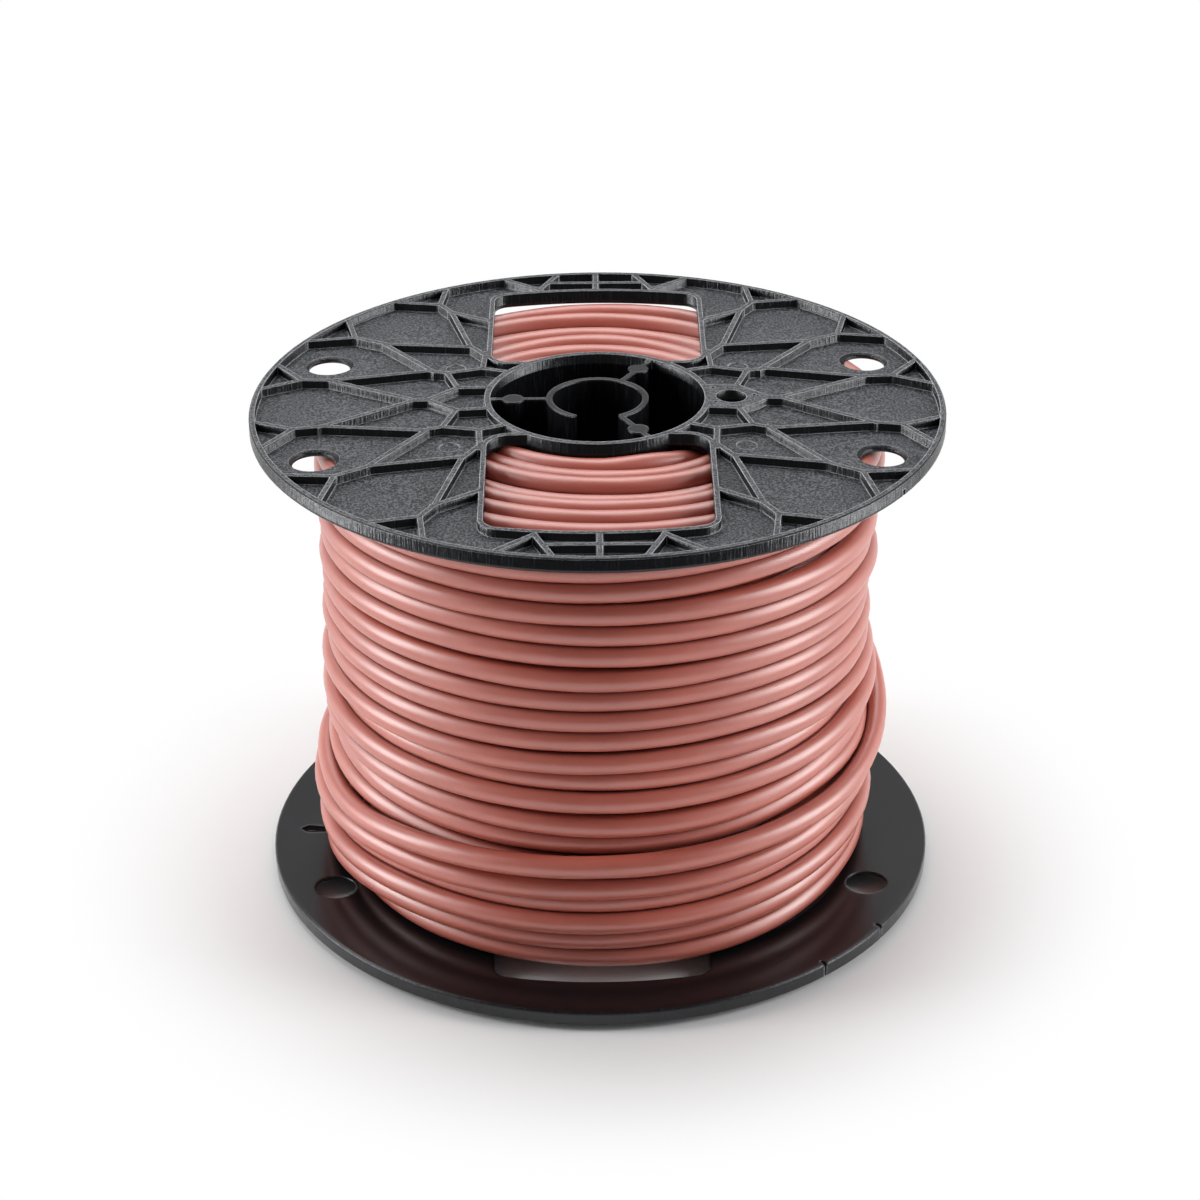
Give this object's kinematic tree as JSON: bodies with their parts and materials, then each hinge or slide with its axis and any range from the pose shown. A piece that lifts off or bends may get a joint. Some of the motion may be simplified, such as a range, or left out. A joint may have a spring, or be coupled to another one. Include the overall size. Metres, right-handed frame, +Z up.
{
  "type": "wire spool",
  "caption": "Ribbed black plastic spool with open windows, wound with jacketed multi-conductor cable and carried on a slotted arbor tube.",
  "frame": {"origin": "on the spool's axis, in the plane of the lower hub ring, which is what the spool stands on", "axes": "+Z up the spool's axis, +X towards the drive hole, -Y towards the arbor tube's open slot"},
  "size_m": [0.165, 0.165, 0.1245],
  "materials": {
    "spool_black": "satin black moulded polystyrene with pale edges",
    "jacket": "satin red-brown PVC jacket",
    "red_wire": "red PVC insulation",
    "white_wire": "white PVC insulation",
    "green_wire": "green PVC insulation",
    "blue_wire": "blue PVC insulation",
    "yellow_wire": "yellow PVC insulation",
    "copper": "bare soft copper, cut end"
  },
  "bodies": {
    "root": {"upper_half": "spool_black", "lower_half": "spool_black", "cable_core": "jacket", "cable_outer_turns": "jacket", "cable_top_turns": "jacket", "cable_end_jacket": "jacket", "red_insulation": "red_wire", "white_insulation": "white_wire", "green_insulation": "green_wire", "blue_insulation": "blue_wire", "yellow_insulation": "yellow_wire", "red_copper": "copper", "white_copper": "copper", "green_copper": "copper", "blue_copper": "copper", "yellow_copper": "copper"}
  },
  "joints": []
}
